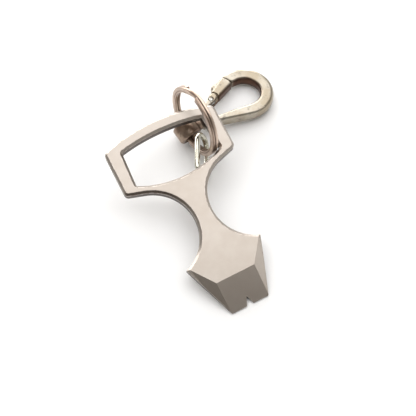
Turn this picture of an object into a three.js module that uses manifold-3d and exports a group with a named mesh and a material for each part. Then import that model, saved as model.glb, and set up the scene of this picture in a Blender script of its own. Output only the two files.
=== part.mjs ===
// Keychain bottle opener: one milled body on a split ring, with a plain link
// and a swivel snap hook. Millimetres, +Z up, standing on z = 0 about the origin.
import * as THREE from 'three';
import { mergeVertices } from 'three/addons/utils/BufferGeometryUtils.js';
import Module from 'manifold-3d';

const wasm = await Module();
wasm.setup();

// opener body, drawn flat: x across, y from the wedge tip to the loop, z out of the front
const body = {
  thickness: 4,
  chamfer: 0.75,
  tilt: 13.8, // degrees the loop end is raised when the bunch lies on a table
  tip: [-12.7, -38.55, 2.2], // the foot of the front face's middle line
  frameHalf: 18.05,
  frameLow: 46.25,
  frameHigh: 60.45,
  crown: 63.45,
  crownRadius: 58,
  waistX: 17.04,
  waistY: 30.54,
  waistRadius: 14.75,
  hornX: 11.6,
  hornY: 17,
  tipHalf: 6.2,
  bevelStart: 9.9,
  bevelHalf: 6.35,
  tipLand: 0.5,
  notchHalf: 1.15,
  notchDepth: 2.7,
};
const window_ = {
  lowHalf: 15.1,
  lowY: 47.2,
  highHalf: 14.4,
  highY: 59.3,
  lowMiddle: 43.25,
  highMiddle: 60.95,
  corner: 1.3,
};
const ring = {
  centre: [11.45, 58.8, -1.6],
  normal: [0.983, 0.075, -0.16],
  radius: 10.9,
  radial: 1.8,
  coil: 0.94,
  gap: 0.13,
  endAngle: 258,
  step: 30,
};
const link = {
  wire: 1.8,
  length: 16.5,
  width: 8.2,
  centre: [-2.99, 11.78, 5.34],
  along: [-0.46, -0.885, -0.071],
  across: [0.387, -0.127, -0.913],
};
const hook = {
  yaw: 11.5,
  dip: 4.1,
  thickness: 4.4,
  round: 1.2,
  bigX: 24.6,
  bigOuter: 10,
  bigInner: 5.4,
  smallX: 9,
  smallOuter: 3.6,
  throatX: 11.8,
  throatInner: 2.2,
  collarRadius: 3,
  collarFrom: 5.2,
  collarTo: 9.5,
  bore: 1.45,
};
const eye = {
  ringAngle: 100,
  roll: 20,
  outer: 4.1,
  hole: 2.4,
  width: 5.6,
  round: 1.1,
  shank: 2.3,
  post: 1.15,
  head: 1.9,
  headFrom: 9.9,
  headTo: 11.1,
};
const gate = { pivotX: 13.4, pivotY: 4.25, lean: 19, reach: 10.2, fit: 0.15, pin: 0.7 };
const spring = { wire: 0.3, radius: 1.15, turns: 2, middle: 0.62, pitch: 0.34 };

const rad = THREE.MathUtils.degToRad;
const vec = (p) => new THREE.Vector3(...p);

function toSolid(geometry) {
  const g = geometry.index ? geometry.toNonIndexed() : geometry.clone();
  g.deleteAttribute('normal');
  g.deleteAttribute('uv');
  const m = mergeVertices(g, 1e-5);
  return new wasm.Manifold(new wasm.Mesh({
    numProp: 3,
    vertProperties: new Float32Array(m.attributes.position.array),
    triVerts: new Uint32Array(m.index.array),
  }));
}

function toMesh(name, solid, place, color, roughness) {
  const m = solid.getMesh();
  const g = new THREE.BufferGeometry();
  g.setAttribute('position', new THREE.BufferAttribute(m.vertProperties.slice(), 3));
  g.setIndex(new THREE.BufferAttribute(m.triVerts.slice(), 1));
  g.applyMatrix4(place);
  const flat = g.toNonIndexed();
  flat.computeVertexNormals();
  const material = new THREE.MeshStandardMaterial({ color, roughness, metalness: 1 });
  const mesh = new THREE.Mesh(flat, material);
  mesh.name = name;
  return mesh;
}

function frameOf(origin, x, y) {
  const ex = x.clone().normalize();
  const ez = new THREE.Vector3().crossVectors(ex, y).normalize();
  const ey = new THREE.Vector3().crossVectors(ez, ex);
  return new THREE.Matrix4().makeBasis(ex, ey, ez).setPosition(origin);
}

const slab = (points, low, high) => toSolid(
  new THREE.ExtrudeGeometry(new THREE.Shape(points), { depth: high - low, bevelEnabled: false })
    .translate(0, 0, low),
);

function rod(radius, from, to, segments = 40) {
  const g = new THREE.CylinderGeometry(radius, radius, to - from, segments);
  return toSolid(g.rotateZ(-Math.PI / 2).translate((from + to) / 2, 0, 0));
}

const upright = (radius, low, high, x, y, segments = 48) => toSolid(
  new THREE.CylinderGeometry(radius, radius, high - low, segments)
    .rotateX(Math.PI / 2).translate(x, y, (low + high) / 2),
);

function roundCorners(corners) {
  // corners: [x, y, radius], walked in order; each becomes an arc tangent to both sides
  const out = [];
  corners.forEach(([x, y, r], i) => {
    const p = new THREE.Vector2(x, y);
    if (!r) { out.push(p); return; }
    const a = new THREE.Vector2(...corners.at(i - 1).slice(0, 2)).sub(p).normalize();
    const b = new THREE.Vector2(...corners[(i + 1) % corners.length].slice(0, 2)).sub(p).normalize();
    const half = Math.acos(THREE.MathUtils.clamp(a.dot(b), -1, 1)) / 2;
    const centre = a.clone().add(b).normalize().multiplyScalar(r / Math.sin(half)).add(p);
    const start = a.multiplyScalar(r / Math.tan(half)).add(p).sub(centre);
    const end = b.multiplyScalar(r / Math.tan(half)).add(p).sub(centre);
    const from = start.angle();
    let turn = end.angle() - from;
    if (turn > Math.PI) turn -= 2 * Math.PI;
    if (turn < -Math.PI) turn += 2 * Math.PI;
    const n = Math.max(2, Math.ceil(Math.abs(turn) / rad(12)));
    for (let k = 0; k <= n; k += 1) {
      const t = from + (turn * k) / n;
      out.push(new THREE.Vector2(Math.cos(t) * r, Math.sin(t) * r).add(centre));
    }
  });
  return out;
}

function arc(cx, cy, r, from, to, n) {
  return Array.from({ length: n + 1 }, (_, k) => {
    const t = rad(from + ((to - from) * k) / n);
    return new THREE.Vector2(cx + r * Math.cos(t), cy + r * Math.sin(t));
  });
}

function bodyOutline() {
  const b = body;
  const centre = new THREE.Vector2(b.waistX, b.waistY);
  const corner = new THREE.Vector2(b.frameHalf, b.frameLow).sub(centre);
  const meet = THREE.MathUtils.radToDeg(corner.angle() + Math.acos(b.waistRadius / corner.length()));
  const horn = THREE.MathUtils.radToDeg(new THREE.Vector2(b.hornX, b.hornY).sub(centre).angle());
  const waist = arc(b.waistX, b.waistY, b.waistRadius, horn, meet, 30);
  const crownAt = (x) => b.crown - (x * x) / (2 * b.crownRadius);
  const side = roundCorners([
    [b.frameHalf - 4, b.frameLow - 1.22, 0],
    [b.frameHalf, b.frameLow, 0.8],
    [b.frameHalf + 0.08, b.frameHigh, 1.1],
    [b.frameHalf - 4, crownAt(b.frameHalf - 4), 0],
  ]).slice(1);
  const top = [];
  for (let x = 11; x >= 0; x -= 1.375) top.push(new THREE.Vector2(x, crownAt(x)));
  const right = [new THREE.Vector2(b.tipHalf - 0.62, b.chamfer), ...waist, ...side, ...top];
  const left = right.filter((p) => p.x > 1e-6).map((p) => new THREE.Vector2(-p.x, p.y));
  return [...right, ...left.reverse()];
}

function windowOutline() {
  const w = window_;
  const low = (x) => w.lowMiddle + ((w.lowY - 0.35 - w.lowMiddle) * x * x) / (w.lowHalf * w.lowHalf);
  const high = (x) => w.highMiddle - ((w.highMiddle - w.highY) * x * x) / (w.highHalf * w.highHalf);
  const side = roundCorners([
    [w.lowHalf - 3, low(w.lowHalf - 3), 0],
    [w.lowHalf, low(w.lowHalf), w.corner],
    [w.highHalf, high(w.highHalf), w.corner],
    [w.highHalf - 3, high(w.highHalf - 3), 0],
  ]);
  const bottom = [];
  for (let x = 0; x < w.lowHalf - 4; x += 1.2) bottom.push(new THREE.Vector2(x, low(x)));
  const top = [];
  for (let x = w.highHalf - 4.2; x > 0.5; x -= 1.275) top.push(new THREE.Vector2(x, high(x)));
  top.push(new THREE.Vector2(0, high(0)));
  const right = [...bottom, ...side, ...top];
  const left = right.filter((p) => p.x > 1e-6).map((p) => new THREE.Vector2(-p.x, p.y));
  return [...right, ...left.reverse()];
}

function cutAbove(a, b, c, depth = 12, grow = 40) {
  // everything on the front side of the plane through a, b and c
  const [p, q, r] = [vec(a), vec(b), vec(c)];
  const x = q.clone().sub(p);
  const m = frameOf(p, x, r.clone().sub(p));
  const up = new THREE.Vector3().setFromMatrixColumn(m, 2);
  const box = new THREE.BoxGeometry(grow, grow, depth);
  return toSolid(box.translate(0, 0, up.z > 0 ? depth / 2 : -depth / 2).applyMatrix4(m));
}

function openerBody() {
  const b = body;
  const shape = new THREE.Shape(bodyOutline());
  shape.holes.push(new THREE.Path(windowOutline()));
  const plate = new THREE.ExtrudeGeometry(shape, {
    depth: b.thickness - 2 * b.chamfer,
    bevelEnabled: true,
    bevelThickness: b.chamfer,
    bevelSize: b.chamfer,
    bevelSegments: 1,
  }).translate(0, 0, b.chamfer - b.thickness);
  let solid = toSolid(plate);
  const mid = -b.thickness / 2;
  const edge = mid + b.tipLand / 2;
  const flip = new THREE.Matrix4().makeScale(1, 1, -1).setPosition(0, 0, -b.thickness);
  const cuts = [
    cutAbove([-b.bevelHalf, b.bevelStart, 0], [b.bevelHalf, b.bevelStart, 0], [0, 0, edge]),
    cutAbove([b.hornX, b.hornY, 0], [b.bevelHalf, b.bevelStart, 0], [b.tipHalf, 0, edge]),
    cutAbove([-b.hornX, b.hornY, 0], [-b.bevelHalf, b.bevelStart, 0], [-b.tipHalf, 0, edge]),
  ];
  for (const cut of cuts) {
    solid = solid.subtract(cut).subtract(cut.transform(flip.elements));
  }
  const notch = [[-b.notchHalf * 1.5, -b.notchDepth / 2], [b.notchHalf * 1.5, -b.notchDepth / 2],
    [0, b.notchDepth]].map(([x, y]) => new THREE.Vector2(x, y));
  return solid.subtract(slab(notch, -b.thickness - 1, 1));
}

function splitRing() {
  // one flat wire, two turns side by side, stepping across where its ends meet
  const r = ring;
  const pitch = r.coil + r.gap;
  const total = 690;
  const n = 138;
  const path = [];
  const half = [r.radial / 2, r.coil / 2];
  for (let k = 0; k <= n; k += 1) {
    const deg = (total * k) / n;
    const s = THREE.MathUtils.smoothstep(deg, 360 - r.step, 360);
    const t = rad(r.endAngle + deg);
    path.push({ dir: [Math.cos(t), Math.sin(t)], z: (s - 0.5) * pitch });
  }
  const points = [];
  for (const p of path) {
    for (const [dr, dz] of [[-1, -1], [1, -1], [1, 1], [-1, 1]]) {
      const radius = r.radius + dr * half[0];
      points.push(p.dir[0] * radius, p.dir[1] * radius, p.z + dz * half[1]);
    }
  }
  const index = [];
  for (let k = 0; k < n; k += 1) {
    for (let j = 0; j < 4; j += 1) {
      const [a, b] = [4 * k + j, 4 * k + ((j + 1) % 4)];
      index.push(a, b + 4, b, a, a + 4, b + 4);
    }
  }
  const e = 4 * n;
  index.push(0, 1, 2, 0, 2, 3, e, e + 2, e + 1, e, e + 3, e + 2);
  const g = new THREE.BufferGeometry();
  g.setAttribute('position', new THREE.Float32BufferAttribute(points, 3));
  g.setIndex(index);
  return toSolid(g);
}

class Racetrack extends THREE.Curve {
  constructor(straight, radius) {
    super();
    this.s = straight;
    this.r = radius;
  }

  getPoint(t, target = new THREE.Vector3()) {
    const bend = Math.PI * this.r;
    const whole = 2 * (this.s + bend);
    let d = (((t % 1) + 1) % 1) * whole;
    if (d < this.s) return target.set(d - this.s / 2, -this.r, 0);
    d -= this.s;
    if (d < bend) {
      const a = d / this.r - Math.PI / 2;
      return target.set(this.s / 2 + this.r * Math.cos(a), this.r * Math.sin(a), 0);
    }
    d -= bend;
    if (d < this.s) return target.set(this.s / 2 - d, this.r, 0);
    const a = (d - this.s) / this.r + Math.PI / 2;
    return target.set(-this.s / 2 + this.r * Math.cos(a), this.r * Math.sin(a), 0);
  }
}

function sweep(centres, normals, radius, sides, closed) {
  // a round wire through centres; normals[k] is any vector across the wire there
  const points = [];
  const count = centres.length;
  centres.forEach((c, k) => {
    const before = centres[closed ? (k + count - 1) % count : Math.max(k - 1, 0)];
    const after = centres[closed ? (k + 1) % count : Math.min(k + 1, count - 1)];
    const along = after.clone().sub(before).normalize();
    const v = new THREE.Vector3().crossVectors(along, normals[k]).normalize();
    const u = new THREE.Vector3().crossVectors(v, along);
    for (let j = 0; j < sides; j += 1) {
      const t = (2 * Math.PI * j) / sides;
      const p = c.clone().addScaledVector(u, radius * Math.cos(t));
      p.addScaledVector(v, radius * Math.sin(t));
      points.push(p.x, p.y, p.z);
    }
  });
  const index = [];
  const last = closed ? count : count - 1;
  for (let k = 0; k < last; k += 1) {
    for (let j = 0; j < sides; j += 1) {
      const a = sides * k + j;
      const b = sides * k + ((j + 1) % sides);
      const [c, d] = [(a + sides) % (sides * count), (b + sides) % (sides * count)];
      index.push(a, b, d, a, d, c);
    }
  }
  if (!closed) {
    for (let j = 1; j < sides - 1; j += 1) {
      const e = sides * (count - 1);
      index.push(0, j + 1, j, e, e + j, e + j + 1);
    }
  }
  const g = new THREE.BufferGeometry();
  g.setAttribute('position', new THREE.Float32BufferAttribute(points, 3));
  g.setIndex(index);
  return toSolid(g);
}

function ovalLink() {
  const radius = (link.width - link.wire) / 2;
  const curve = new Racetrack(link.length - link.width, radius);
  const centres = Array.from({ length: 64 }, (_, k) => curve.getPoint(k / 64));
  return sweep(centres, centres.map(() => new THREE.Vector3(0, 0, 1)), link.wire / 2, 16, true);
}

function hull2(x1, r1, x2, r2, segments = 56) {
  // plan of two circles on the x axis and their common tangents, counter-clockwise
  const lean = THREE.MathUtils.radToDeg(Math.asin((r2 - r1) / (x2 - x1)));
  const far = arc(x2, 0, r2, -90 - lean, 90 + lean, Math.round(segments * 0.7));
  const near = arc(x1, 0, r1, 90 + lean, 270 - lean, Math.round(segments * 0.3));
  return [...far, ...near];
}

function hookLoop() {
  const h = hook;
  const inset = (r) => r - h.round;
  const shape = new THREE.Shape(hull2(h.smallX, inset(h.smallOuter), h.bigX, inset(h.bigOuter)));
  const hole = hull2(h.throatX, h.throatInner + h.round, h.bigX, h.bigInner + h.round);
  shape.holes.push(new THREE.Path(hole));
  return toSolid(new THREE.ExtrudeGeometry(shape, {
    depth: h.thickness - 2 * h.round,
    bevelEnabled: true,
    bevelThickness: h.round,
    bevelSize: h.round,
    bevelSegments: 3,
  }).translate(0, 0, h.round - h.thickness / 2));
}

function gateSide(from, margin = 0) {
  // plan region ahead of the pivot, on the gate's side of the loop
  const m = new THREE.Matrix4().makeRotationZ(rad(gate.lean)).setPosition(gate.pivotX, gate.pivotY, 0);
  const box = new THREE.BoxGeometry(30, 9.4, 12).translate(15 + from, 1.2, 0).applyMatrix4(m);
  const reach = upright(gate.reach + margin, -6, 6, gate.pivotX, gate.pivotY, 96);
  return toSolid(box).intersect(reach);
}

function hookBody() {
  const h = hook;
  const g = gate;
  const pivot = (radius, low, high) => upright(radius, low, high, g.pivotX, g.pivotY);
  const cheeks = pivot(2.7, -6, 6);
  const slot = gateSide(0).add(pivot(3.3, -6, 6)).intersect(toSolid(new THREE.BoxGeometry(99, 99, 2.6)));
  return hookLoop()
    .add(rod(h.collarRadius, h.collarFrom, h.collarTo, 48))
    .subtract(gateSide(0, g.fit).subtract(cheeks))
    .subtract(slot)
    .subtract(rod(h.bore, 0, h.throatX, 40))
    .subtract(rod(eye.head + 0.35, h.collarTo + 0.1, h.throatX + 0.6, 40))
    .subtract(pivot(g.pin + 0.2, -6, 6));
}

function hookGate() {
  const g = gate;
  const pivot = (radius, low, high) => upright(radius, low, high, g.pivotX, g.pivotY);
  const main = hookLoop().intersect(gateSide(0.4, -g.fit)).subtract(pivot(3, -6, 6));
  const leaf = toSolid(new THREE.BoxGeometry(99, 99, 0.9).translate(0, 0, -0.55));
  const tongue = hookLoop()
    .intersect(pivot(2.3, -1, -0.1).add(gateSide(0, -6.6).intersect(leaf)));
  const m = new THREE.Matrix4().makeRotationZ(rad(g.lean)).setPosition(g.pivotX, g.pivotY, 0);
  const lug = new THREE.SphereGeometry(1, 20, 12).scale(1.9, 1.1, 1.5).translate(6, 2.3, 0).applyMatrix4(m);
  return main.add(tongue).add(toSolid(lug)).subtract(pivot(g.pin + 0.25, -6, 6));
}

function gatePin() {
  const half = hook.thickness / 2 - 0.35;
  return upright(gate.pin, -half, half, gate.pivotX, gate.pivotY, 32);
}

function gateSpring() {
  const s = spring;
  const centres = [];
  const normals = [];
  const steps = 54;
  for (let k = 0; k <= steps; k += 1) {
    const t = rad(200) + (2 * Math.PI * s.turns * k) / steps;
    const z = s.middle + (k / steps - 0.5) * s.pitch * s.turns;
    centres.push(new THREE.Vector3(s.radius * Math.cos(t), s.radius * Math.sin(t), z));
    normals.push(new THREE.Vector3(0, 0, 1));
  }
  return sweep(centres, normals, s.wire / 2, 8, false).translate([gate.pivotX, gate.pivotY, 0]);
}

function swivelEye() {
  const e = eye;
  const wide = e.width / 2;
  const profile = roundCorners([
    [e.hole, -wide, e.round * 0.7], [e.outer, -wide, e.round],
    [e.outer, wide, e.round], [e.hole, wide, e.round * 0.7],
  ]);
  profile.push(profile[0].clone());
  const bead = toSolid(new THREE.LatheGeometry(profile, 48));
  const roll = new THREE.Matrix4().makeRotationX(rad(e.roll));
  return bead
    .add(rod(e.shank, e.hole + 0.9, hook.collarFrom - 0.3, 40))
    .add(rod(e.post, e.hole + 1, e.headTo, 32))
    .add(rod(e.head, e.headFrom, e.headTo, 32))
    .transform(roll.elements);
}

// places
const lay = new THREE.Matrix4().makeRotationX(rad(body.tilt)).setPosition(...body.tip);
const ringX = new THREE.Vector3().crossVectors(vec(ring.normal), new THREE.Vector3(0, 0, 1));
const ringY = new THREE.Vector3().crossVectors(vec(ring.normal), ringX);
const ringPlace = lay.clone().multiply(frameOf(vec(ring.centre), ringX, ringY));
const at = rad(eye.ringAngle);
const held = new THREE.Vector3(Math.cos(at), Math.sin(at), 0).multiplyScalar(ring.radius)
  .applyMatrix4(ringPlace);
const axis = new THREE.Vector3(
  Math.cos(rad(hook.yaw)) * Math.cos(rad(hook.dip)),
  Math.sin(rad(hook.yaw)) * Math.cos(rad(hook.dip)),
  -Math.sin(rad(hook.dip)),
);
const left = new THREE.Vector3(-Math.sin(rad(hook.yaw)), Math.cos(rad(hook.yaw)), 0);
const hookPlace = frameOf(held.clone().addScaledVector(axis, 0.55), axis, left);
const linkPlace = frameOf(vec(link.centre), vec(link.along), vec(link.across));

const group = new THREE.Group();
group.name = 'keychain_bottle_opener';
group.add(
  toMesh('opener_body', openerBody(), lay, 0xe4d8cc, 0.45),
  toMesh('split_ring', splitRing(), ringPlace, 0xbfae9f, 0.35),
  toMesh('oval_link', ovalLink(), linkPlace, 0xdcdcd4, 0.2),
  toMesh('swivel_eye', swivelEye(), hookPlace, 0xa08c78, 0.35),
  toMesh('hook_body', hookBody(), hookPlace, 0xb5ab94, 0.35),
  toMesh('hook_gate', hookGate(), hookPlace, 0xb5ab94, 0.35),
  toMesh('gate_pin', gatePin(), hookPlace, 0x9a9a96, 0.3),
  toMesh('gate_spring', gateSpring(), hookPlace, 0x8f8f8f, 0.3),
);
export default group;
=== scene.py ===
import math

import bmesh
import bpy
from mathutils import Matrix, Vector


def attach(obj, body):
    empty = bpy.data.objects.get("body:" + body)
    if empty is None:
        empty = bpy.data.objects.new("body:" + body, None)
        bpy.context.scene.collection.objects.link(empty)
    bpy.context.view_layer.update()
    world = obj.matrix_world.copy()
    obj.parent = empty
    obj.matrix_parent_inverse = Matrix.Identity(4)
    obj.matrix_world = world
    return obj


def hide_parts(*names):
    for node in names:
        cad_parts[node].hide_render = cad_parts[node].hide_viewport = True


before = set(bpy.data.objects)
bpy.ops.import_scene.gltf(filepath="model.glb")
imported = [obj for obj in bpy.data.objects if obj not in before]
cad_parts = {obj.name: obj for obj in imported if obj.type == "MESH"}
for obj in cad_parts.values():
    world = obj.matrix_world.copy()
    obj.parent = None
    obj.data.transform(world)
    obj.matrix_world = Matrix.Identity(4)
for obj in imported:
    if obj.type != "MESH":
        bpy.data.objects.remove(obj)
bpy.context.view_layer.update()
millimetre = 0.001  # shapes are drawn in millimetres and finished in metres
rad = math.radians


def frameMatrix(origin, xAxis, yAxis):
    # a place from its origin, its x axis and roughly its y axis
    x = Vector(xAxis).normalized()
    z = x.cross(Vector(yAxis)).normalized()
    y = z.cross(x)
    turn = Matrix((x, y, z)).transposed().to_4x4()
    return Matrix.Translation(Vector(origin)) @ turn


class Outline:
    # a wire drawn flat: straight runs, rounded corners and arcs
    def __init__(self, bm, start):
        self.bm = bm
        self.pen = bm.verts.new((*start, 0))

    def line(self, point):
        made = self.bm.verts.new((*point, 0))
        self.bm.edges.new((self.pen, made))
        self.pen = made

    def arc(self, centre, degrees, steps):
        made = bmesh.ops.spin(self.bm, geom=[self.pen], axis=(0, 0, 1), cent=(*centre, 0),
                              angle=rad(degrees), steps=steps)
        self.pen = made["geom_last"][0]

    def corner(self, point, radius, towards, steps=16):
        p = Vector(point)
        back = (self.pen.co.xy - p).normalized()
        ahead = (Vector(towards) - p).normalized()
        half = math.acos(max(-1, min(1, back.dot(ahead)))) / 2
        centre = p + (back + ahead).normalized() * (radius / math.sin(half))
        self.line(p + back * (radius / math.tan(half)))
        way = 1 if back.x * ahead.y - back.y * ahead.x < 0 else -1
        self.arc(centre, way * (180 - math.degrees(2 * half)), steps)


def markSharp(bm, degrees):
    for face in bm.faces:
        face.smooth = True
    for edge in bm.edges:
        edge.smooth = len(edge.link_faces) != 2 or edge.calc_face_angle(0) < rad(degrees)


def sharpEdges(bm, degrees):
    return [e for e in bm.edges if len(e.link_faces) == 2 and e.calc_face_angle(0) > rad(degrees)]


def roundEdges(bm, edges, width, segments):
    return bmesh.ops.bevel(bm, geom=edges, offset=width, offset_type="OFFSET", segments=segments,
                           profile=0.5, material=-1, affect="EDGES", clamp_overlap=True)["faces"]


def roundedBar(bm, wide, high, radius, segments=3):
    # flat face with rounded corners, centred, for sweeping
    made = bmesh.ops.create_grid(bm, x_segments=1, y_segments=1, size=0.5)
    bmesh.ops.scale(bm, vec=(wide, high, 1), verts=made["verts"])
    bmesh.ops.bevel(bm, geom=made["verts"], offset=radius, offset_type="OFFSET", segments=segments,
                    profile=0.5, material=-1, affect="VERTICES", clamp_overlap=True)


def reportMesh(name, bm):
    openEdges = sum(len(e.link_faces) != 2 for e in bm.edges)
    print(name, len(bm.faces), "faces,", openEdges, "open edges")


def makePiece(bm, name, place, materials, crease):
    # moves the finished mesh to its place in metres and hands back its object
    reportMesh(name, bm)
    bmesh.ops.transform(bm, matrix=Matrix.Scale(millimetre, 4) @ place, verts=bm.verts[:])
    markSharp(bm, crease)
    mesh = bpy.data.meshes.new(name)
    bm.to_mesh(mesh)
    bm.free()
    for material in materials:
        mesh.materials.append(material)
    piece = bpy.data.objects.new(name, mesh)
    bpy.context.scene.collection.objects.link(piece)
    return piece


def fitPiece(piece, body, node):
    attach(piece, body)
    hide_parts(node)
    print("made", piece.name, "for", node)


def linear(tone):
    # a tone on the 0 to 255 scale as a shader's colour
    def one(v):
        v /= 255
        return v / 12.92 if v <= 0.04045 else ((v + 0.055) / 1.055) ** 2.4
    return (*(one(v) for v in tone), 1)


class Wire:
    # one output of a node, so that shader maths reads as plain expressions
    def __init__(self, shade, socket):
        self.shade = shade
        self.socket = socket

    def maths(self, operation, first, second):
        return self.shade.add("ShaderNodeMath", {"operation": operation}, {0: first, 1: second})

    def __add__(self, other): return self.maths("ADD", self, other)
    def __radd__(self, other): return self.maths("ADD", other, self)
    def __sub__(self, other): return self.maths("SUBTRACT", self, other)
    def __rsub__(self, other): return self.maths("SUBTRACT", other, self)
    def __mul__(self, other): return self.maths("MULTIPLY", self, other)
    def __rmul__(self, other): return self.maths("MULTIPLY", other, self)
    def __pow__(self, other): return self.maths("POWER", self, other)


class Shade:
    # one material and its nodes; with a place, patterns follow the piece's own axes
    def __init__(self, name, place=None):
        self.material = bpy.data.materials.new(name)
        self.material.use_nodes = True
        self.tree = self.material.node_tree
        self.tree.nodes.clear()
        self.where = self.add("ShaderNodeTexCoord", {}, {}, "Object")
        if place:
            centre, turn, _ = place.decompose()
            self.where = self.add("ShaderNodeMapping", {"vector_type": "TEXTURE"},
                                  {"Vector": self.where, "Location": centre * millimetre,
                                   "Rotation": turn.to_euler()})

    def add(self, kind, settings, sockets, out=0):
        node = self.tree.nodes.new(kind)
        for key, value in settings.items():
            setattr(node, key, value)
        for key, value in sockets.items():
            if isinstance(value, Wire):
                self.tree.links.new(value.socket, node.inputs[key])
            else:
                node.inputs[key].default_value = value
        return Wire(self, node.outputs[out])

    def noise(self, scale, detail=3, rough=0.5, where=None):
        return self.add("ShaderNodeTexNoise", {},
                        {"Vector": where or self.where, "Scale": scale, "Detail": detail,
                         "Roughness": rough}, "Fac")

    def band(self, factor, low, high):
        return self.add("ShaderNodeMapRange", {"clamp": True, "interpolation_type": "SMOOTHSTEP"},
                        {"Value": factor, "From Min": low, "From Max": high})

    def stretch(self, amount):
        return self.add("ShaderNodeVectorMath", {"operation": "MULTIPLY"},
                        {0: self.where, 1: amount})

    def split(self, axis):
        return self.add("ShaderNodeSeparateXYZ", {}, {0: self.where}, axis)

    def mix(self, factor, first, second):
        return self.add("ShaderNodeMix", {"data_type": "RGBA"}, {0: factor, 6: first, 7: second}, 2)

    def bump(self, height, depth, strength, under=None):
        sockets = {"Height": height, "Distance": depth, "Strength": strength}
        if under:
            sockets["Normal"] = under
        return self.add("ShaderNodeBump", {}, sockets, "Normal")

    def finish(self, **sockets):
        names = {"colour": "Base Color", "rough": "Roughness", "metal": "Metallic",
                 "normal": "Normal", "glow": "Emission Color", "glowStrength": "Emission Strength"}
        shader = self.add("ShaderNodeBsdfPrincipled", {},
                          {names[key]: value for key, value in sockets.items()})
        output = self.tree.nodes.new("ShaderNodeOutputMaterial")
        self.tree.links.new(shader.socket, output.inputs["Surface"])
        return self.material


def blastedTitanium(name, tone, dark, wall, rough):
    # fine bead-blasted grain with slow warm and cool patches, and painted shade on the milled sides
    # and lower chamfers
    s = Shade(name)
    side = s.add("ShaderNodeAttribute", {"attribute_name": "side"}, {}, "Fac")
    grain = s.noise(5200, 4, 0.65)
    cloud = s.noise(55, 3, 0.5)
    blotch = s.noise(420, 2, 0.5)
    mask = s.band(0.6 * cloud + 0.25 * blotch + 0.15 * grain, 0.36, 0.64)
    # painted shade: the side attribute mixes in the dark wall colour
    colour = s.mix(side, s.mix(mask, linear(dark), linear(tone)), linear(wall))
    height = 0.7 * grain + 0.3 * s.noise(2100, 3, 0.6)
    return s.finish(colour=colour, metal=1.0, rough=rough + 0.1 * grain,
                    normal=s.bump(height, 0.00003, 0.5))


def wornEdge(name, bright, dull, rough):
    # edges rubbed smoother by keys and pockets
    s = Shade(name)
    rub = s.band(s.noise(700, 3, 0.6), 0.35, 0.6)
    return s.finish(colour=s.mix(rub, linear(dull), linear(bright)), metal=1.0,
                    rough=rough - 0.14 * rub, normal=s.bump(s.noise(4000, 2), 0.00002, 0.2))


def springSteel(name, place, light, dark, rough):
    # hoops of fine drawing lines along the wire, browner where they run deeper
    s = Shade(name, place)
    out = s.add("ShaderNodeVectorMath", {"operation": "LENGTH"}, {0: s.stretch((1, 1, 0))}, "Value")
    hoops = s.add("ShaderNodeCombineXYZ", {}, {"X": out, "Y": s.split("Z")})
    lines = s.noise(5200, 2, 0.5, where=hoops)
    bands = s.noise(1500, 1, 0.4, where=hoops)
    patch = s.noise(160, 3, 0.55)
    mask = s.band(0.55 * bands + 0.25 * lines + 0.2 * patch, 0.4, 0.58)
    return s.finish(colour=s.mix(mask, linear(dark), linear(light)), metal=1.0,
                    rough=rough + 0.12 * patch, normal=s.bump(lines, 0.00002, 0.3))


def polishedSteel(name, light, dark, rough):
    # bright finish with soft ripples and a few rub marks
    s = Shade(name)
    ripple = s.noise(260, 2, 0.4)
    scuff = s.band(s.noise(900, 4, 0.6, where=s.stretch((1, 0.35, 1))), 0.5, 0.68)
    mask = s.band(s.noise(150, 3, 0.5), 0.3, 0.6)
    return s.finish(colour=s.mix(mask, linear(dark), linear(light)), metal=1.0,
                    rough=rough + 0.2 * scuff,
                    normal=s.bump(ripple, 0.00012, 0.25, s.bump(scuff, 0.00001, 0.2)))


def paintedShadeInside(s, opening, cloud):
    # painted shade mask: 1 on the wall of the hook's tapering opening, fading to 0 a little way
    # past it
    near, far, nearRound, farRound = (v * millimetre for v in opening)
    fadeStart, fadeEnd, ragged = 0.0003, 0.0013, 0.0006  # metres
    run = s.add("ShaderNodeMapRange", {"clamp": True},
                {"Value": s.split("X"), "From Min": near, "From Max": far})
    across = s.split("X") - (near + (far - near) * run)
    up = s.split("Y")
    out = (across * across + up * up) ** 0.5
    depth = out - (nearRound + (farRound - nearRound) * run) + ragged * cloud
    return 1 - s.band(depth, fadeStart, fadeEnd)


def platedZinc(name, tones, rough, place=None, opening=None):
    # satin plating with warmer rubbed places and grime in the casting's grain, and painted shade
    # inside the opening when one is given
    s = Shade(name, place)
    cloud = s.noise(130, 4, 0.6)
    pits = s.noise(2600, 3, 0.6)
    grime = s.band(s.noise(520, 4, 0.65), 0.54, 0.72)
    base = s.mix(s.band(cloud, 0.38, 0.62), linear(tones["warm"]), linear(tones["light"]))
    if opening:
        # painted shade: the opening's wall and a little past it turn dark brown
        base = s.mix(paintedShadeInside(s, opening, cloud), base, linear(tones["insideShade"]))
    return s.finish(colour=s.mix(0.55 * grime, base, linear(tones["grime"])), metal=1.0,
                    rough=rough + 0.1 * cloud + 0.15 * grime,
                    normal=s.bump(pits, 0.00002, 0.25, s.bump(cloud, 0.0002, 0.15)))


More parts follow.
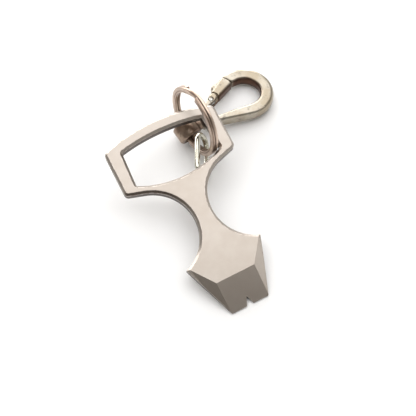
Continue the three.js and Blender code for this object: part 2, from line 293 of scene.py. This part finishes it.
openerPlan = {
    "half": 2.0,                         # half the plate's thickness
    "chamfer": 0.75,
    "tilt": 13.8,                        # loop end raised, wedge tip down
    "foot": (-12.7, -38.55, 2.2),        # where the middle of the tip stands
    "notch": (1.15, 2.7),                # half width and depth at the tip
    "tip": 5.58,                         # half width of the flat tip
    "horn": (11.6, 17.0),                # the wedge's outer corner
    "waist": (17.04, 30.54, 14.75),      # centre and radius of the side arc
    "lowCorner": (18.05, 46.25, 0.8),    # place and radius
    "highCorner": (18.13, 60.45, 1.1),
    "shoulder": 4.0,                     # from the high corner in to the crown's arc
    "crown": (63.45, 58.0),              # height and radius of the top arc
    "windowLow": (43.25, 33.47),         # height and radius of the window's lower arc
    "windowHigh": (60.95, 63.66),
    "windowCorners": ((15.1, 46.85), (14.4, 59.3), 1.3),
    "windowRun": 3.0,                    # from a window corner in to its arc
    "wedge": (9.9, 6.35, 6.2, 1.75),     # start, half width there and at the tip, depth at the tip
    "rub": 0.09,                         # rounding of every edge
    # painted shade on the lower chamfers, set by which way they face
    "undersideShade": (0.2, 1.3, 0.82, 1.5),  # lower chamfers' darkness: base, gain, most, right side
    "tone": (176, 168, 160),
    "patch": (169, 160, 151),
    # painted shade: the colour of the milled side walls
    "wall": (68, 57, 50),
    "rough": 0.28,
    "edgeBright": (214, 205, 196),
    "edgeDull": (160, 148, 139),
    "edgeRough": 0.42,
    "crease": 8,
}


def openerPlate(plan):
    # the plate's flat face: half is drawn with its window, then mirrored
    bm = bmesh.new()
    x, y, radius = plan["waist"]
    chamfer = plan["chamfer"]
    wide, deep = plan["notch"]
    slope = wide / deep
    apex = deep + chamfer / math.sin(math.atan(slope))
    hornX, hornY = plan["horn"]
    turn = math.atan2(hornY - y, hornX - x)
    lowX, lowY, lowRound = plan["lowCorner"]
    reach = math.hypot(lowX - x, lowY - y)
    meet = math.atan2(lowY - y, lowX - x) + math.acos(radius / reach)
    highX, highY, highRound = plan["highCorner"]
    crownY, crownRadius = plan["crown"]
    crownSide = highX - plan["shoulder"]
    crownDrop = crownRadius - math.sqrt(crownRadius ** 2 - crownSide ** 2)

    edge = Outline(bm, (0, apex))
    start = edge.pen
    edge.line(((apex - chamfer) * slope, chamfer))
    edge.line((plan["tip"], chamfer))
    edge.line((x + radius * math.cos(turn), y + radius * math.sin(turn)))
    edge.arc((x, y), -(math.degrees(turn - meet) % 360), 56)
    edge.corner((lowX, lowY), lowRound, (highX, highY))
    edge.corner((highX, highY), highRound, (crownSide, crownY - crownDrop))
    edge.line((crownSide, crownY - crownDrop))
    edge.arc((0, crownY - crownRadius), math.degrees(math.asin(crownSide / crownRadius)), 14)
    top = edge.pen

    lowMiddle, lowSweep = plan["windowLow"]
    highMiddle, highSweep = plan["windowHigh"]
    (cornerX, cornerY), (upX, upY), corner = plan["windowCorners"]
    lowSide = cornerX - plan["windowRun"]
    hole = Outline(bm, (0, lowMiddle))
    base = hole.pen
    hole.arc((0, lowMiddle + lowSweep), math.degrees(math.asin(lowSide / lowSweep)), 14)
    hole.corner((cornerX, cornerY), corner, (upX, upY))
    sideX = upX - plan["windowRun"]
    sideY = highMiddle - highSweep + math.sqrt(highSweep ** 2 - sideX ** 2)
    hole.corner((upX, upY), corner, (sideX, sideY))
    hole.line((sideX, sideY))
    hole.arc((0, highMiddle - highSweep), math.degrees(math.asin(sideX / highSweep)), 12)
    bm.edges.new((base, start))
    bm.edges.new((hole.pen, top))
    bmesh.ops.contextual_create(bm, geom=bm.edges[:])
    bmesh.ops.mirror(bm, geom=bm.verts[:] + bm.edges[:] + bm.faces[:],
                     matrix=Matrix.Identity(4), axis="X", merge_dist=0.0001)
    bmesh.ops.recalc_face_normals(bm, faces=bm.faces[:])
    if bm.faces[0].normal.z < 0:
        bmesh.ops.reverse_faces(bm, faces=bm.faces[:])
    return bm


def raiseWalls(bm, side, plan):
    # out to the walls, back in to the face over the chamfer, then down to the middle
    chamfer, half = plan["chamfer"], plan["half"]
    bmesh.ops.inset_region(bm, faces=bm.faces[:], thickness=-chamfer, depth=0,
                           use_even_offset=True, use_boundary=True)
    old = {v for e in bm.edges if e.is_boundary for v in e.verts}
    bmesh.ops.delete(bm, geom=list(old), context="VERTS")
    bmesh.ops.translate(bm, vec=(0, 0, half - chamfer), verts=bm.verts[:])
    bmesh.ops.inset_region(bm, faces=bm.faces[:], thickness=chamfer, depth=chamfer,
                           use_even_offset=True, use_boundary=True)
    rim = [e for e in bm.edges if e.is_boundary]
    wall = bmesh.ops.extrude_edge_only(bm, edges=rim)["geom"]
    low = [v for v in wall if isinstance(v, bmesh.types.BMVert)]
    bmesh.ops.translate(bm, vec=(0, 0, chamfer - half), verts=low)
    # painted shade: the side walls take the full dark wall colour
    for face in wall:
        if isinstance(face, bmesh.types.BMFace):
            face[side] = 1


def cutWedge(bm, side, plan):
    # the sloping tip and a facet on each side of it, each three points below the face
    begin, wide, narrow, deep = plan["wedge"]
    hornX, hornY = plan["horn"]
    for corners in (((-wide, begin, 0), (wide, begin, 0), (0, 0, -deep)),
                    ((hornX, hornY, 0), (wide, begin, 0), (narrow, 0, -deep)),
                    ((-hornX, hornY, 0), (-wide, begin, 0), (-narrow, 0, -deep))):
        a, b, c = (Vector(p) + Vector((0, 0, plan["half"])) for p in corners)
        up = (b - a).cross(c - a)
        if up.z < 0:
            up.negate()
        cut = bmesh.ops.bisect_plane(bm, geom=bm.verts[:] + bm.edges[:] + bm.faces[:],
                                     dist=0.00001, plane_co=a, plane_no=up,
                                     clear_outer=True)["geom_cut"]
        loop = [e for e in cut if isinstance(e, bmesh.types.BMEdge)]
        for face in bmesh.ops.contextual_create(bm, geom=loop)["faces"]:
            face[side] = 0


def paintUndersideShade(bm, side, plan):
    # painted shade: the chamfers under the frame darken the more they face down, towards the dark
    # of the side walls, less so on the right
    base, gain, most, right = plan["undersideShade"]
    cornerX, cornerY, cornerRound = plan["lowCorner"]
    low, high = plan["horn"][1] + 1, cornerY + cornerRound
    for face in bm.faces:
        centre = face.calc_center_median()
        slanted = 0.3 < abs(face.normal.z) < 0.9
        if slanted and low < centre.y < high:
            slope = -face.normal.y - right * max(0, centre.x / cornerX)
            face[side] = max(0, min(most, base + gain * slope))


def openerBody(plan):
    bm = openerPlate(plan)
    # the side attribute holds the amount of painted shade
    side = bm.faces.layers.float.new("side")  # 1 on the milled side walls, 0 on the faces
    raiseWalls(bm, side, plan)
    cutWedge(bm, side, plan)
    bmesh.ops.mirror(bm, geom=bm.verts[:] + bm.edges[:] + bm.faces[:],
                     matrix=Matrix.Identity(4), axis="Z", merge_dist=0.0001)
    bmesh.ops.recalc_face_normals(bm, faces=bm.faces[:])
    bmesh.ops.translate(bm, vec=(0, 0, -plan["half"]), verts=bm.verts[:])
    paintUndersideShade(bm, side, plan)
    for face in roundEdges(bm, sharpEdges(bm, 20), plan["rub"], 2):
        face.material_index = 1
    place = Matrix.Translation(plan["foot"]) @ Matrix.Rotation(rad(plan["tilt"]), 4, "X")
    return makePiece(bm, "openerBody", place, [
        blastedTitanium("blastedTitanium", plan["tone"], plan["patch"], plan["wall"],
                        plan["rough"]),
        wornEdge("rubbedEdge", plan["edgeBright"], plan["edgeDull"], plan["edgeRough"]),
    ], plan["crease"])


ringPlan = {
    "centre": (-1.25, 18.934, 14.672),
    "normal": (0.984, 0.111, -0.138),
    "radius": 10.9,
    "wire": (1.8, 0.94, 0.2),   # across, along the axis, corner
    "pitch": 1.07,              # from one turn to the next
    "start": 258,
    "step": 30,                 # degrees that the crossing takes
    "second": 330,              # degrees of the second turn
    "endRound": 0.1,
    "light": (210, 191, 175),
    "dark": (128, 107, 94),
    "rough": 0.24,
    "crease": 40,
}


def ringPlace(plan):
    normal = Vector(plan["normal"]).normalized()
    tilt = Matrix.Rotation(rad(openerPlan["tilt"]), 3, "X")
    x = normal.cross(tilt @ Vector((0, 0, 1)))
    return frameMatrix(plan["centre"], x, normal.cross(x))


def splitRing(plan):
    bm = bmesh.new()
    roundedBar(bm, *plan["wire"])
    step, pitch = plan["step"], plan["pitch"]
    stand = (Matrix.Rotation(rad(plan["start"]), 4, "Z")
             @ Matrix.Translation((plan["radius"], 0, -pitch / 2))
             @ Matrix.Rotation(rad(90), 4, "X"))
    bmesh.ops.transform(bm, matrix=stand, verts=bm.verts[:])
    tip = bm.faces[:]
    # a full turn less the step, the step across, and the second turn
    for degrees, rise, steps in ((360 - step, 0, 110), (step, pitch, 16),
                                 (plan["second"], 0, 110)):
        tip = bmesh.ops.spin(bm, geom=tip, axis=(0, 0, 1), cent=(0, 0, 0), angle=rad(degrees),
                             steps=steps, dvec=(0, 0, rise / steps))["geom_last"]
    bmesh.ops.recalc_face_normals(bm, faces=bm.faces[:])
    rims = [e for e in bm.edges if any(len(f.verts) > 4 for f in e.link_faces)]
    roundEdges(bm, rims, plan["endRound"], 2)
    place = ringPlace(plan)
    return makePiece(bm, "splitRing", place, [
        springSteel("ringSteel", place, plan["light"], plan["dark"], plan["rough"])],
        plan["crease"])


linkPlan = {
    "centre": (-2.99, 11.78, 5.34),
    "along": (-0.46, -0.885, -0.071),
    "across": (0.387, -0.127, -0.913),
    "length": 16.5,
    "width": 8.2,
    "wire": 1.8,
    "weld": 0.12,               # how much thinner the wire is at its butt weld
    "weldSide": 0.2,            # half the weld's length
    "light": (214, 212, 200),
    "dark": (180, 176, 158),
    "rough": 0.1,
    "crease": 60,
}


def runStraight(bm, tip, distance, steps=1):
    for _ in range(steps):
        faces = [f for f in tip if isinstance(f, bmesh.types.BMFace)]
        tip = bmesh.ops.extrude_face_region(bm, geom=faces)["geom"]
        bmesh.ops.translate(bm, vec=(distance / steps, 0, 0),
                            verts=[v for v in tip if isinstance(v, bmesh.types.BMVert)])
    return tip


def runRound(bm, tip, x):
    return bmesh.ops.spin(bm, geom=tip, axis=(0, 0, 1), cent=(x, 0, 0), angle=rad(-180),
                          steps=40)["geom_last"]


def ovalLink(plan):
    bm = bmesh.new()
    made = bmesh.ops.create_circle(bm, cap_ends=True, segments=28, radius=plan["wire"] / 2)
    bend = (plan["width"] - plan["wire"]) / 2
    straight = (plan["length"] - plan["width"]) / 2
    weldSide = plan["weldSide"]
    stand = Matrix.Translation((0, bend, 0)) @ Matrix.Rotation(rad(90), 4, "Y")
    bmesh.ops.transform(bm, matrix=stand, verts=made["verts"])
    # once round from the weld in the middle of a straight
    tip = runStraight(bm, bm.faces[:], straight - weldSide, 2)
    tip = runStraight(bm, tip, weldSide)
    tip = runRound(bm, tip, straight)
    tip = runStraight(bm, tip, -2 * straight, 4)
    tip = runRound(bm, tip, -straight)
    runStraight(bm, tip, straight, 3)
    bmesh.ops.delete(bm, geom=[f for f in bm.faces if len(f.verts) > 4], context="FACES_ONLY")
    bmesh.ops.remove_doubles(bm, verts=bm.verts[:], dist=0.001)
    seam = [v for v in bm.verts if abs(v.co.x) < 0.01 and v.co.y > 0]
    bmesh.ops.scale(bm, vec=(1, 1 - plan["weld"], 1 - plan["weld"]), verts=seam,
                    space=Matrix.Translation((0, -bend, 0)))
    bmesh.ops.recalc_face_normals(bm, faces=bm.faces[:])
    place = frameMatrix(plan["centre"], plan["along"], plan["across"])
    return makePiece(bm, "ovalLink", place, [
        polishedSteel("linkSteel", plan["light"], plan["dark"], plan["rough"])], plan["crease"])


hookPlan = {
    "origin": (-2.571, 23.277, 4.762),   # middle of the eye's hole
    "along": (0.977, 0.199, -0.071),
    "left": (-0.199, 0.98, 0),
    "roll": 20,                          # turn of the eye about the hook's long axis
    "bead": (4.1, 2.4, 5.6, 0.88),       # outer and hole radius, width, corner
    "shank": ((3.0, 0), (3.0, 2.1), (3.2, 2.3), (4.7, 2.3), (4.9, 2.1), (4.9, 1.15), (9.9, 1.15),
              (9.9, 1.75), (10.05, 1.9), (10.75, 1.9), (11.1, 1.3), (11.1, 0)),
    "pin": (13.4, 4.25, 0.7, 1.85),      # x, y, radius and half length
    "pinHead": (0.22, 0.16, 0.1, 0.08),  # rounding, rim, step and depth of its dimple
    "opening": (11.8, 24.6, 2.2, 5.4),   # near and far centre and radius
    "worn": (19.0, 24.0),                # where the loop's edges grow rounder
    "bodySkin": (0.2, 18, 44),           # grain, rounds of smoothing, more rounds on the loop
    "gateSkin": (0.16, 12, 0),
    "eyeTones": {"light": (160, 142, 126), "warm": (116, 97, 84), "grime": (46, 37, 33)},
    "eyeRough": 0.24,
    "tones": {"light": (180, 173, 160), "warm": (160, 149, 131), "grime": (70, 58, 50),
              # the last tone is painted shade for the inside of the opening
              "insideShade": (88, 64, 52)},
    "rough": 0.25,
    "pinTones": ((188, 186, 180), (150, 147, 140), 0.18),     # light, dark, roughness
    "springTones": ((176, 174, 168), (130, 127, 120), 0.2),
    "crease": 40,                        # of the turned eye and pin
    "softCrease": 60,                    # of the castings and the spring
}


def hookPlace(plan):
    return frameMatrix(plan["origin"], plan["along"], plan["left"])


def swivelEye(plan):
    # a bead that is spun about the ring's wire, and a shank that is spun about its own axis
    bm = bmesh.new()
    outer, hole, wide, corner = plan["bead"]
    roundedBar(bm, outer - hole, wide, corner, 5)
    stand = Matrix.Translation(((outer + hole) / 2, 0, 0)) @ Matrix.Rotation(rad(90), 4, "X")
    bmesh.ops.transform(bm, matrix=stand, verts=bm.verts[:])
    bmesh.ops.delete(bm, geom=bm.faces[:], context="FACES_ONLY")
    bmesh.ops.spin(bm, geom=bm.verts[:] + bm.edges[:], axis=(0, 0, 1), cent=(0, 0, 0),
                   angle=rad(360), steps=72, use_merge=True)
    bmesh.ops.rotate(bm, cent=(0, 0, 0), matrix=Matrix.Rotation(rad(90), 3, "X"),
                     verts=bm.verts[:])
    line = [bm.verts.new((x, y, 0)) for x, y in plan["shank"]]
    edges = [bm.edges.new(pair) for pair in zip(line, line[1:])]
    bmesh.ops.spin(bm, geom=line + edges, axis=(1, 0, 0), cent=(0, 0, 0), angle=rad(360),
                   steps=48, use_merge=True)
    bmesh.ops.remove_doubles(bm, verts=bm.verts[:], dist=0.0005)
    bmesh.ops.recalc_face_normals(bm, faces=bm.faces[:])
    place = hookPlace(plan) @ Matrix.Rotation(rad(plan["roll"]), 4, "X")
    return makePiece(bm, "swivelEye", place, [
        platedZinc("eyeZinc", plan["eyeTones"], plan["eyeRough"])], plan["crease"])


def fromNode(node, name, material, plan):
    # a smooth-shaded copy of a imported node
    bm = bmesh.new()
    bm.from_mesh(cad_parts[node].data)
    bmesh.ops.scale(bm, vec=[1 / millimetre] * 3, verts=bm.verts[:])
    bmesh.ops.remove_doubles(bm, verts=bm.verts[:], dist=0.002)
    bmesh.ops.dissolve_degenerate(bm, dist=0.002, edges=bm.edges[:])
    return makePiece(bm, name, Matrix.Identity(4), [material], plan["softCrease"])


def castSoft(piece, skin, plan):
    # rounds a casting's edges: an even skin over the shape, then gentle smoothing
    grain, rounds, loopRounds = skin
    remesh = piece.modifiers.new("skin", "REMESH")
    remesh.mode = "VOXEL"
    remesh.voxel_size = grain * millimetre
    made = bpy.data.meshes.new_from_object(
        piece.evaluated_get(bpy.context.evaluated_depsgraph_get()))
    piece.modifiers.clear()
    bm = bmesh.new()
    bm.from_mesh(made)
    bpy.data.meshes.remove(made)
    toHook = (Matrix.Scale(millimetre, 4) @ hookPlace(plan)).inverted()
    along = {v: (toHook @ v.co).x for v in bm.verts}
    near, far = plan["worn"]
    for turn in range(rounds + loopRounds):  # the loop is rubbed rounder towards its end
        reach = near + (far - near) * (turn - rounds) / max(1, loopRounds)
        soft = [v for v in bm.verts if turn < rounds or along[v] > reach]
        bmesh.ops.smooth_vert(bm, verts=soft, factor=0.5, use_axis_x=True, use_axis_y=True,
                              use_axis_z=True)
    markSharp(bm, plan["softCrease"])
    print(piece.name, "skinned with", len(bm.faces), "faces")
    bm.to_mesh(piece.data)
    bm.free()
    return piece


def gatePin(plan):
    bm = bmesh.new()
    x, y, radius, half = plan["pin"]
    rounding, rim, step, deep = plan["pinHead"]
    bmesh.ops.create_cone(bm, cap_ends=True, segments=40, radius1=radius, radius2=radius,
                          depth=2 * half)
    roundEdges(bm, sharpEdges(bm, 60), rounding, 4)
    heads = [f for f in bm.faces if len(f.verts) > 8]
    bmesh.ops.inset_individual(bm, faces=heads, thickness=rim, depth=0.0)
    bmesh.ops.inset_individual(bm, faces=heads, thickness=step, depth=-deep)
    bmesh.ops.translate(bm, vec=(x, y, 0), verts=bm.verts[:])
    return makePiece(bm, "gatePin", hookPlace(plan), [
        polishedSteel("pinSteel", *plan["pinTones"])], plan["crease"])


studioPlan = {                       # metres
    "floor": 3.0,
    "world": (1, 0.93, 0.85, 1),
    "worldGlow": 0.24,
    "surround": (1.45, 1.0, 0.28),   # radius, height, glow
    # name, place, turn, size, brightness
    "lights": (
        ("key", (0.14, 0.29, 0.5), (0, 0, -24), (0.9, 0.9), 1.95),
        ("back", (0.1, 0.8, 0.2), (90, 0, 180), (1.3, 0.4), 4.8),
        ("side", (0.46, -0.25, 0.46), (30, 45, 0), (0.2, 0.2), 1.5),
    ),
    "camera": (-0.04734, -0.09965, 0.19638),
    "turn": (27.695, 2.929, -27.313),
    "lens": 60.49,
    "sensor": 36,
}


def setBackdrop(bm, name, material):
    mesh = bpy.data.meshes.new(name)
    bm.to_mesh(mesh)
    bm.free()
    mesh.materials.append(material)
    backdrop = bpy.data.objects.new(name, mesh)
    bpy.context.scene.collection.objects.link(backdrop)


def setFloor(plan):
    bm = bmesh.new()
    bmesh.ops.create_grid(bm, x_segments=4, y_segments=4, size=plan["floor"] / 2)
    s = Shade("floorPaint")
    paint = s.mix(s.noise(30), (0.9, 0.9, 0.9, 1), (0.93, 0.93, 0.93, 1))
    setBackdrop(bm, "floor", s.finish(colour=paint, rough=0.7))


def setSurround(plan):
    # a pale wall all round, so that low views see no dark horizon
    radius, tall, glow = plan["surround"]
    bm = bmesh.new()
    bmesh.ops.create_cone(bm, cap_ends=False, segments=96, radius1=radius, radius2=radius,
                          depth=tall)
    bmesh.ops.translate(bm, vec=(0, 0, tall / 2), verts=bm.verts[:])
    bmesh.ops.reverse_faces(bm, faces=bm.faces[:])
    s = Shade("surroundPaint")
    setBackdrop(bm, "surround", s.finish(colour=(0.3, 0.295, 0.285, 1), rough=0.9,
                                         glow=(1, 0.98, 0.95, 1), glowStrength=glow))


def setLights(plan):
    world = bpy.data.worlds.new("studio")
    world.use_nodes = True
    background = world.node_tree.nodes["Background"]
    background.inputs["Color"].default_value = plan["world"]
    background.inputs["Strength"].default_value = plan["worldGlow"]
    bpy.context.scene.world = world
    for name, place, turn, (wide, high), bright in plan["lights"]:
        light = bpy.data.lights.new(name, "AREA")
        light.shape = "RECTANGLE"
        light.size = wide
        light.size_y = high
        light.energy = bright * math.pi * wide * high
        lamp = bpy.data.objects.new(name, light)
        lamp.location = place
        lamp.rotation_euler = [rad(v) for v in turn]
        bpy.context.scene.collection.objects.link(lamp)


def setCamera(plan):
    camera = bpy.data.cameras.new("camera")
    camera.lens = plan["lens"]
    camera.sensor_width = plan["sensor"]
    camera.clip_start = 0.01
    holder = bpy.data.objects.new("camera", camera)
    holder.location = plan["camera"]
    holder.rotation_euler = [rad(v) for v in plan["turn"]]
    bpy.context.scene.collection.objects.link(holder)
    bpy.context.scene.camera = holder
    bpy.context.scene.view_settings.view_transform = "Standard"


setFloor(studioPlan)
setSurround(studioPlan)
setLights(studioPlan)
setCamera(studioPlan)
print("studio ready")

fitPiece(openerBody(openerPlan), "opener", "opener_body")
fitPiece(splitRing(ringPlan), "ring", "split_ring")
fitPiece(ovalLink(linkPlan), "link", "oval_link")
fitPiece(swivelEye(hookPlan), "eye", "swivel_eye")

hookZinc = platedZinc("hookZinc", hookPlan["tones"], hookPlan["rough"], hookPlace(hookPlan),
                      hookPlan["opening"])
hookBody = castSoft(fromNode("hook_body", "hookBody", hookZinc, hookPlan),
                    hookPlan["bodySkin"], hookPlan)
fitPiece(hookBody, "hook", "hook_body")
hookGate = castSoft(fromNode("hook_gate", "hookGate", hookZinc, hookPlan),
                    hookPlan["gateSkin"], hookPlan)
fitPiece(hookGate, "gate", "hook_gate")
fitPiece(gatePin(hookPlan), "hook", "gate_pin")
springWire = polishedSteel("springWire", *hookPlan["springTones"])
gateSpring = fromNode("gate_spring", "gateSpring", springWire, hookPlan)
fitPiece(gateSpring, "hook", "gate_spring")
